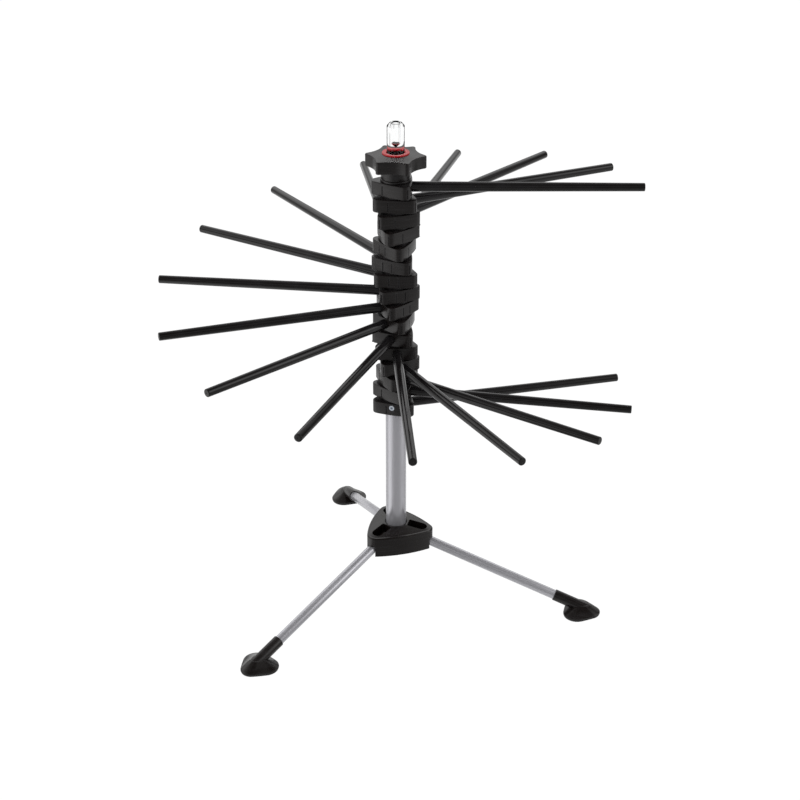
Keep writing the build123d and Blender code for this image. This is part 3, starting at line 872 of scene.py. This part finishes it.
@dataclass
class Fan:
    """The sixteen arms, each a ring with its rod."""

    finishes: Finishes
    count: int = 16
    reach: float = 225.0
    step_deg: float = 25.0
    rise_deg: float = 0.31
    top_heading_deg: float = -1.28
    ring_height: float = 12.4
    corner_reach: float = 25.5
    side_reach: float = 15.0
    corner_round: float = 5.5
    root_radius: float = 4.8
    tip_radius: float = 3.8
    tip_round: float = 0.9
    shoulder: float = 14.1
    spigot_radius: float = 3.0
    spigot_length: float = 2.8
    dimple_radius: float = 0.9
    dimple_depth: float = 0.35
    bore: float = 10.06
    collar_radius: float = 13.0
    collar_height: float = 2.2
    recess_radius: float = 12.66
    recess_depth: float = 2.3
    dog_radius: float = 12.36
    dog_height: float = 2.0
    dog_deg: float = 24.0
    dog_sink: float = 0.4
    edge_round: float = 0.5
    notches_deg: tuple[float, ...] = (60.0, 98.0, 131.0, 180.0, 220.0, -60.0)
    notch: Triple = (1.4, 0.9, 8.6)
    notch_rise: float = -0.6
    grub_radius: float = 2.62
    grub_rise: float = 1.6
    grub_reach: float = 14.5
    grub_length: float = 11.0
    grub_deg: float = -120.0

    def ring(self, number: int) -> Blank:
        """A ring with its arm along +X, a collar and a stop dog under it.

        Args:
            number: which arm, counted from the top; the lowest has neither collar nor dog.

        Returns:
            The ring about its own middle.
        """
        half = self.ring_height / 2
        plan = BowedTriangle(self.corner_reach, self.side_reach, self.corner_round, 60.0)
        lowest = number == self.count
        foot = -half if lowest else -half - self.collar_height
        circles = [
            (self.recess_radius, half),
            (self.recess_radius, half - self.recess_depth),
            (self.bore, half - self.recess_depth),
            (self.bore, foot),
        ]
        if not lowest:
            circles += [(self.collar_radius, foot), (self.collar_radius, -half)]
        blank = Blank()
        loops = [blank.loop(plan, -half), blank.loop(plan, half)]
        for radius, height in circles:
            loops.append(blank.loop(Round(radius, plan.steps, plan.start_deg), height))
        blank.skin(loops, closed=True)
        blank.closed_up()
        blank.soften(self.edge_round, lambda point: point.xy.length > self.collar_radius + 1)
        blank.drilled(*self._cutters(plan, lowest))
        if not lowest:
            blank.joined(self._dog(foot))
        return blank

    def _cutters(self, plan: BowedTriangle, lowest: bool) -> list[Blank]:
        """What is cut out of a ring's sides: the notches and the grub screw's hole."""
        cutters = []
        for heading in self.notches_deg:
            blade = Blank().boxed(self.notch, Vector((plan.reach_at(heading), 0, self.notch_rise)))
            cutters.append(blade.moved(turned_about_z(heading)))
        if lowest:
            out = Matrix.Translation((self.grub_reach, 0, self.grub_rise))
            place = turned_about_z(self.grub_deg) @ out @ LAID
            cutters.append(Blank().barred(self.grub_radius, self.grub_length).moved(place))
        return cutters

    def _dog(self, foot: float) -> Blank:
        """The stop dog, a short arc of wall under the collar."""
        blank = Blank()
        start = 180.0 - self.dog_deg / 2
        corners = pipe(self.bore, self.dog_radius, foot - self.dog_height, foot + self.dog_sink)
        points = [blank.bm.verts.new(spot(reach, start, height)) for reach, height in corners]
        face = bmesh.ops.contextual_create(blank.bm, geom=points)["faces"][0]
        blank.sweep([*points, *face.edges, face], Vector(), math.radians(self.dog_deg), 12)
        return blank.closed_up()

    def rod(self) -> Blank:
        """A tapered rod along +X with a rounded tip and a small gate dimple."""
        start, dimple_foot = self.shoulder - self.spigot_length, self.reach - self.dimple_depth
        profile = [
            (0, start),
            (self.spigot_radius, start),
            (self.spigot_radius, self.shoulder),
            (self.root_radius, self.shoulder),
            (self.tip_radius, self.reach),
            (self.dimple_radius, self.reach),
            (self.dimple_radius / 2, dimple_foot),
            (0, dimple_foot),
        ]
        blank = Blank().turned(profile, steps=64)
        blank.soften(
            self.tip_round, lambda point: point.z > self.reach - 0.01 and point.xy.length > 1.5, 4
        )
        return blank.moved(LAID)

    def build(self) -> None:
        """Build every arm."""
        rise = Matrix.Rotation(math.radians(-self.rise_deg), 4, "Y")
        for number in range(1, self.count + 1):
            ring = f"arm_ring_{number:02d}"
            height = span(ring)[1] - self.ring_height / 2
            place = turned_about_z(self.top_heading_deg + (number - 1) * self.step_deg, height)
            body = f"arm_{number:02d}" if number < self.count else "base"
            rod = f"arm_rod_{number:02d}"
            self.rod().piece(rod[4:], place @ rise, body, Slot.GLOSS, self.finishes, rod)
            self.ring(number).piece(ring[4:], place, body, Slot.SATIN, self.finishes, ring)
        self.finishes.dress_nodes(Slot.STEEL, "grub_screw")


@dataclass
class Column:
    """The aluminium tube with what is inside it."""

    finishes: Finishes
    radius: float = 10.0
    bore: float = 8.5
    lip: float = 0.3

    def build(self) -> None:
        """Build the tube and dress the inner pieces."""
        profile = pipe(self.radius, self.bore, *span("column_tube"))
        tube = Blank().turned(profile, closed=True, steps=128).soften(self.lip)
        tube.piece("tube", HOME, "base", Slot.ANODISED, self.finishes, "column_tube")
        self.finishes.dress_nodes(Slot.SATIN, "tube_plug")
        self.finishes.dress_nodes(Slot.RUBBER, "wand_rest")


@dataclass
class Wand:
    """The clear rod kept in the column, with a bevelled and drilled head."""

    finishes: Finishes
    radius: float = 8.1
    bevel: float = 2.5
    bevel_height: float = 2.8
    well_radius: float = 3.8
    well_depth: float = 18.9
    well_cone: float = 4.2
    tail_round: float = 1.5
    edge_round: float = 0.25

    def build(self) -> None:
        """Build the rod."""
        bottom, top = span("wand")
        profile = [
            (0, bottom),
            (self.radius - self.tail_round, bottom),
            (self.radius, bottom + self.tail_round),
            (self.radius, top - self.bevel_height),
            (self.radius - self.bevel, top),
            (self.well_radius, top),
            (self.well_radius, top - self.well_depth),
            (0, top - self.well_depth - self.well_cone),
        ]
        rod = Blank().turned(profile, steps=128)
        rod.soften(self.edge_round, lambda point: point.z > top - self.bevel_height - 1, 2, 25)
        rod.piece("clear_wand", HOME, "wand", Slot.CLEAR, self.finishes, "wand")


@dataclass
class Knob:
    """Star knob, its red ring and the washer that it presses on the rings."""

    finishes: Finishes
    reach: float = 31.0
    valley_reach: float = 21.6
    point_round: float = 2.8
    heading_deg: float = -7.2
    star_height: float = 11.6
    star_round: float = 0.9
    crown_rise: float = 1.4
    crown_foot: float = 19.5
    crown_top: float = 13.5
    neck_radius: float = 13.7
    neck_round: float = 0.4
    bore: float = 10.06
    shelf_rise: float = 0.35
    wand_hole: float = 8.45
    trim_radius: float = 12.6
    trim_gap: float = 0.02
    trim_seat: float = 0.5
    trim_round: float = 0.85
    washer_radius: float = 14.2
    washer_round: float = 0.6

    def build(self) -> None:
        """Build the three pieces."""
        self._star()
        self._trim()
        self._washer()

    def _star(self) -> None:
        """The knob itself, skinned from its star down to its neck and bore."""
        bottom, top = span("knob")
        rim = top - self.crown_rise
        under = rim - self.star_height
        shelf = rim - self.star_height / 2 + self.shelf_rise
        seat = top - self.trim_seat
        recess = self.trim_radius + self.trim_gap
        star = Star(self.reach, self.valley_reach, self.point_round, self.heading_deg)
        blank = Blank()
        loops = [blank.loop(star, under), blank.loop(star, rim)]
        for radius, height in (
            (self.crown_foot, rim),
            (self.crown_top, top),
            (recess, top),
            (recess, seat),
            (self.wand_hole, seat),
            (self.wand_hole, shelf),
            (self.bore, shelf),
            (self.bore, bottom),
            (self.neck_radius, bottom),
            (self.neck_radius, under),
        ):
            loops.append(blank.loop(Round(radius, star.steps, self.heading_deg), height))
        blank.skin(loops, closed=True)
        blank.closed_up()
        blank.soften(
            self.star_round,
            lambda point: point.xy.length > self.crown_foot + 1 and point.z > under - 1,
            4,
        )
        blank.soften(
            self.neck_round, lambda point: point.z < bottom + 1 and point.xy.length > self.bore + 1
        )
        blank.piece("star_knob", HOME, "knob", Slot.SATIN, self.finishes, "knob")

    def _trim(self) -> None:
        """The red ring, rounded on top."""
        bottom, top = span("knob_trim")
        blank = Blank().turned(pipe(self.trim_radius, self.wand_hole, bottom, top), closed=True)
        blank.soften(self.trim_round, lambda point: point.z > top - 0.1, 5)
        blank.piece("red_ring", HOME, "knob", Slot.RED, self.finishes, "knob_trim")

    def _washer(self) -> None:
        """The washer under the knob."""
        profile = pipe(self.washer_radius, self.bore, *span("thrust_washer"))
        blank = Blank().turned(profile, closed=True)
        blank.soften(self.washer_round, lambda point: point.xy.length > self.bore + 1)
        blank.piece("washer", HOME, "washer", Slot.SATIN, self.finishes, "thrust_washer")


@dataclass
class Base:
    """The moulded base and its three folding legs."""

    finishes: Finishes
    pivot_radius: float = 24.0
    pivot_height: float = 65.16
    slope_deg: float = 19.4
    leg_radius: float = 4.7
    leg_wall: float = 0.9
    leg_start: float = 4.4
    leg_lip: float = 0.2

    def build(self) -> None:
        """Build each piece."""
        self.finishes.dress_nodes(Slot.SATIN, "hub_housing")
        self.finishes.dress_nodes(Slot.STEEL, "hub_screw", "pivot_pins")
        for side, heading in LEGS.items():
            self._leg(side, heading)
            Foot(self.finishes, side, heading, self.along(heading)).build()

    def along(self, heading_deg: float) -> Matrix:
        """From a frame with +X down a leg from its pivot to the rack's frame."""
        pivot = Matrix.Translation((self.pivot_radius, 0, self.pivot_height))
        slope = Matrix.Rotation(math.radians(self.slope_deg), 4, "Y")
        return turned_about_z(heading_deg) @ pivot @ slope

    def _leg(self, side: str, heading: float) -> None:
        """A leg's tube, drawn along its own +Z, and its hinge head."""
        body = f"leg_{side}"
        far = Foot.leg_end() - Foot.sleeve_length + Foot.sleeve_grip
        profile = pipe(self.leg_radius, self.leg_radius - self.leg_wall, self.leg_start, far)
        tube = Blank().turned(profile, closed=True, steps=72).soften(self.leg_lip, steps=2)
        place = self.along(heading) @ LAID
        tube.piece(f"{body}_tube", place, body, Slot.ANODISED, self.finishes, f"leg_tube_{side}")
        self.finishes.dress_nodes(Slot.SATIN, f"leg_plug_{side}")


@dataclass
class Foot:
    """A moulded foot, its sleeve for the leg and its soft sole."""

    finishes: Finishes
    side: str
    heading_deg: float
    along_leg: Matrix
    reach: float = 207.9
    length: float = 35.5
    sole_height: float = 1.3
    rim_height: float = 1.5
    sleeve_radius: float = 5.65
    bore: float = 4.72
    sleeve_length: float = 49.0
    sleeve_grip: float = 25.0
    mouth_round: float = 0.45
    dome_start: float = 17.0
    dome_length: float = 14.0
    crest_rise: float = 7.6
    slope_shape: Triple = (0.12, 1.6, -0.72)
    slope_steps: int = 16

    @staticmethod
    def leg_end() -> float:
        """Distance along a leg from its pivot to the foot's outer end."""
        return (Foot.reach - Base.pivot_radius) / math.cos(math.radians(Base.slope_deg))

    def build(self) -> None:
        """Build the foot and its sole."""
        body = f"leg_{self.side}"
        place = turned_about_z(self.heading_deg)
        pad = self._pad().joined(self._sleeve(place))
        pad.piece(f"{body}_foot", place, body, Slot.SATIN, self.finishes, f"foot_{self.side}")
        sole = Blank()
        levels = ((0.8, 0.0), (0.5, 0.3), (0.5, self.sole_height))
        loops = [sole.loop(self._outline(0, inset), height) for inset, height in levels]
        sole.skin(loops, closed=False)
        sole.cap(loops[0])
        sole.cap(loops[-1])
        sole.closed_up()
        sole.piece(f"{body}_sole", place, body, Slot.RUBBER, self.finishes, f"foot_sole_{self.side}")

    def _outline(self, up: float, inset: float = 0.0) -> PadOutline:
        """The pad's plan at a share of the way up from its rim to its crest.

        Each key gives how far the tip and the back lie in, half the width, and the two roundings.
        """
        keys = (
            (0.0, 0.0, 19.0, 10.5, 13.0),
            (0.9, 1.8, 16.4, 9.6, 10.8),
            (3.6, 5.4, 12.6, 8.2, 7.9),
            (7.4, 9.4, 8.6, 6.4, 5.3),
            (11.6, 13.0, 5.3, 4.2, 3.4),
        )
        last = len(keys) - 1
        low = min(int(up * last), last - 1)
        rows = [keys[min(max(low + step, 0), last)] for step in (-1, 0, 1, 2)]
        tip_in, back_in, half, tip_round, corner_round = (
            smooth(*column, up * last - low) for column in zip(*rows)
        )
        return PadOutline(
            tip_x=self.reach - tip_in - inset,
            tip_round=tip_round - inset,
            corner_x=self.reach - self.length + back_in + corner_round,
            corner_y=half - corner_round,
            corner_round=corner_round - inset,
        )

    def _pad(self) -> Blank:
        """The pad, from its flat underside over a dished slope to its crest."""
        blank = Blank()
        rim = self.sole_height + self.rim_height
        loops = [
            blank.loop(self._outline(0, 0.3), self.sole_height),
            blank.loop(self._outline(0, 0.0), self.sole_height + 0.3),
            blank.loop(self._outline(0, 0.0), rim - 0.4),
            blank.loop(self._outline(0, 0.12), rim - 0.12),
        ]
        for step in range(self.slope_steps):
            up = (step + 0.35) / (self.slope_steps - 0.65)
            rise = sum(share * up**power for power, share in enumerate(self.slope_shape, 1))
            loops.append(blank.loop(self._outline(up), rim + self.crest_rise * rise))
        blank.skin(loops, closed=False)
        blank.cap(loops[0])
        blank.cap(loops[-1])
        return blank.closed_up()

    def _sleeve(self, place: Matrix) -> Blank:
        """The sleeve, rounded off where it sinks into the pad."""
        end = self.leg_end()
        mouth = end - self.sleeve_length
        floor = mouth + self.sleeve_grip
        shoulder = end - self.dome_start
        profile = [
            (0, floor),
            (self.bore, floor),
            (self.bore, mouth),
            (self.sleeve_radius, mouth),
            (self.sleeve_radius, shoulder),
        ]
        for step in range(1, 9):
            turn = step / 9 * math.pi / 2
            height = shoulder + self.dome_length * math.sin(turn)
            profile.append((self.sleeve_radius * math.cos(turn), height))
        profile.append((0, shoulder + self.dome_length))
        blank = Blank().turned(profile, steps=72)
        blank.soften(self.mouth_round, lambda point: point.z < mouth + 0.1)
        blank.moved(place.inverted() @ self.along_leg @ LAID)
        return blank.cut_below(self.sole_height + 0.4)


@dataclass(frozen=True)
class Softbox:
    """A rectangular lamp; reflections see the banks instead."""

    name: str
    place: Triple
    size: Pair
    watts: float

    def aimed_at(self, target: Vector) -> None:
        """Add the lamp to the scene, turned to a point."""
        data = bpy.data.lights.new(self.name, "AREA")
        data.shape = "RECTANGLE"
        data.size, data.size_y = self.size
        data.energy = self.watts
        lamp = linked(self.name, data)
        lamp.visible_glossy = False
        turn = (target - Vector(self.place)).to_track_quat("-Z", "Y").to_matrix().to_4x4()
        lamp.matrix_world = Matrix.Translation(self.place) @ turn


@dataclass(frozen=True)
class Banks:
    """Brightness round the rack by compass angle, as reflections see it."""

    behind: float
    left_behind: float
    left: float
    left_front: float
    front: float
    right_front: float
    right: float
    right_behind: float

    def level(self, paint: Paint, place: Value) -> Value:
        """The brightness in a direction.

        Args:
            paint: the tree it is added to.
            place: the direction, or the place on the floor.

        Returns:
            The brightness.
        """
        across, depth = (
            paint.node("SeparateXYZ", {}, place, output=axis) for axis in ("X", "Y")
        )
        turn = paint.node("Math", {"operation": "ARCTAN2"}, across, 0 - depth)
        stops = (
            (0.0, self.behind),
            (0.10, self.behind),
            (0.17, self.left_behind),
            (0.28, self.left),
            (0.36, self.left_front),
            (0.43, self.front),
            (0.57, self.front),
            (0.64, self.right_front),
            (0.71, self.right),
            (0.82, self.right_behind),
            (0.92, self.behind),
        )
        top = max(level for _, level in stops)
        share = turn * (0.5 / math.pi) + 0.5
        return paint.ramp(share, *((at, level / top) for at, level in stops)) * top


@dataclass
class Studio:
    """Floor, lights and camera; none of it is part of the rack."""

    eye: Triple = (0.003884, -1.49858, 0.98297)
    down_deg: float = 27.1555
    roll_deg: float = 0.0178
    lens_mm: float = 78.831
    sensor_mm: float = 36.0
    floor_size: float = 60.0
    floor_grey: float = 0.82
    floor_glow: float = 1.06
    floor_whitened: float = 0.93
    room_light: float = 0.45
    lit_height: float = 0.25
    softboxes: tuple[Softbox, ...] = (
        Softbox("key", (-1.9, -0.6, 1.7), (2.2, 1.8), 26.0),
        Softbox("fill", (2.0, -0.2, 1.1), (1.4, 1.8), 11.0),
        Softbox("overhead", (0.1, 0.5, 2.6), (2.4, 2.0), 20.0),
    )
    floor_banks: Banks = Banks(0.75, 0.45, 1.20, 0.85, 0.30, 0.40, 0.70, 0.40)
    room_banks: Banks = Banks(1.2, 1.2, 0.9, 0.42, 0.28, 0.55, 1.9, 0.14)

    def build(self) -> None:
        """Set up the whole stage."""
        self._camera()
        self._floor()
        self._world()
        for softbox in self.softboxes:
            softbox.aimed_at(Vector((0, 0, self.lit_height)))
        bpy.context.scene.view_settings.view_transform = "Standard"

    def _camera(self) -> None:
        """The photograph's viewpoint."""
        data = bpy.data.cameras.new("camera")
        data.lens = self.lens_mm
        data.sensor_width = self.sensor_mm
        camera = linked("camera", data)
        tilt = Matrix.Rotation(math.radians(90 - self.down_deg), 4, "X")
        roll = Matrix.Rotation(math.radians(self.roll_deg), 4, "Z")
        camera.matrix_world = Matrix.Translation(self.eye) @ tilt @ roll
        bpy.context.scene.camera = camera

    def _ray(self, paint: Paint, kind: str) -> Value:
        """1 where a ray of a kind looks."""
        return paint.node("LightPath", {}, output=f"Is {kind} Ray")

    def _floor(self) -> None:
        """A pale floor that stays white to the eye but keeps a faint shadow."""
        paint = Paint.named("pale_floor")
        grey = rgba(self.floor_grey, self.floor_grey, self.floor_grey)
        lit = paint.node("BsdfDiffuse", {}, Color=grey)
        white = paint.node("Emission", {}, Color=WHITE, Strength=self.floor_glow)
        direct = (self._ray(paint, "Camera") + self._ray(paint, "Transmission")).clamped()
        open_floor = paint.node("MixShader", {}, direct * self.floor_whitened, lit, white)
        level = self.floor_banks.level(paint, paint.object_place())
        bank = paint.node("Emission", {}, Color=WHITE, Strength=level)
        mirrored = self._ray(paint, "Glossy") * (1 - self._ray(paint, "Transmission"))
        paint.close(paint.node("MixShader", {}, mirrored, open_floor, bank))
        sheet = Blank()
        bmesh.ops.create_grid(sheet.bm, x_segments=2, y_segments=2, size=self.floor_size / 2)
        mesh = sheet.as_mesh("floor")
        mesh.materials.append(paint.owner)
        linked("floor", mesh)

    def _world(self) -> None:
        """White to the camera and through glass; reflections see the banks, dimmed high and low."""
        world = bpy.data.worlds.new("studio")
        bpy.context.scene.world = world
        paint = Paint(world)
        way = paint.node("TexCoord", {}, output="Generated")
        height = paint.node("SeparateXYZ", {}, way, output="Z")
        high = paint.ranged(height, (0.5, 0.85), (1.0, 0.22))
        low = paint.ranged(height, (0.12, 0.42), (0.3, 1.0))
        room = self.room_banks.level(paint, way) * high * low
        camera, through, glossy = (
            self._ray(paint, kind) for kind in ("Camera", "Transmission", "Glossy")
        )
        plain_view = (camera + through).clamped()
        lighting = room * glossy + (1 - glossy) * self.room_light
        level = plain_view + (1 - plain_view) * lighting
        sky = paint.node("Background", {}, Color=WHITE, Strength=level)
        paint.close(sky, "OutputWorld")


def main() -> None:
    """Build the rack and its stage."""
    logging.basicConfig(level=logging.INFO, format="%(name)s: %(message)s")
    finishes = Finishes()
    for assembly in (Fan(finishes), Column(finishes), Wand(finishes), Knob(finishes), Base(finishes)):
        assembly.build()
    Studio().build()


if __name__ == "__main__":
    main()
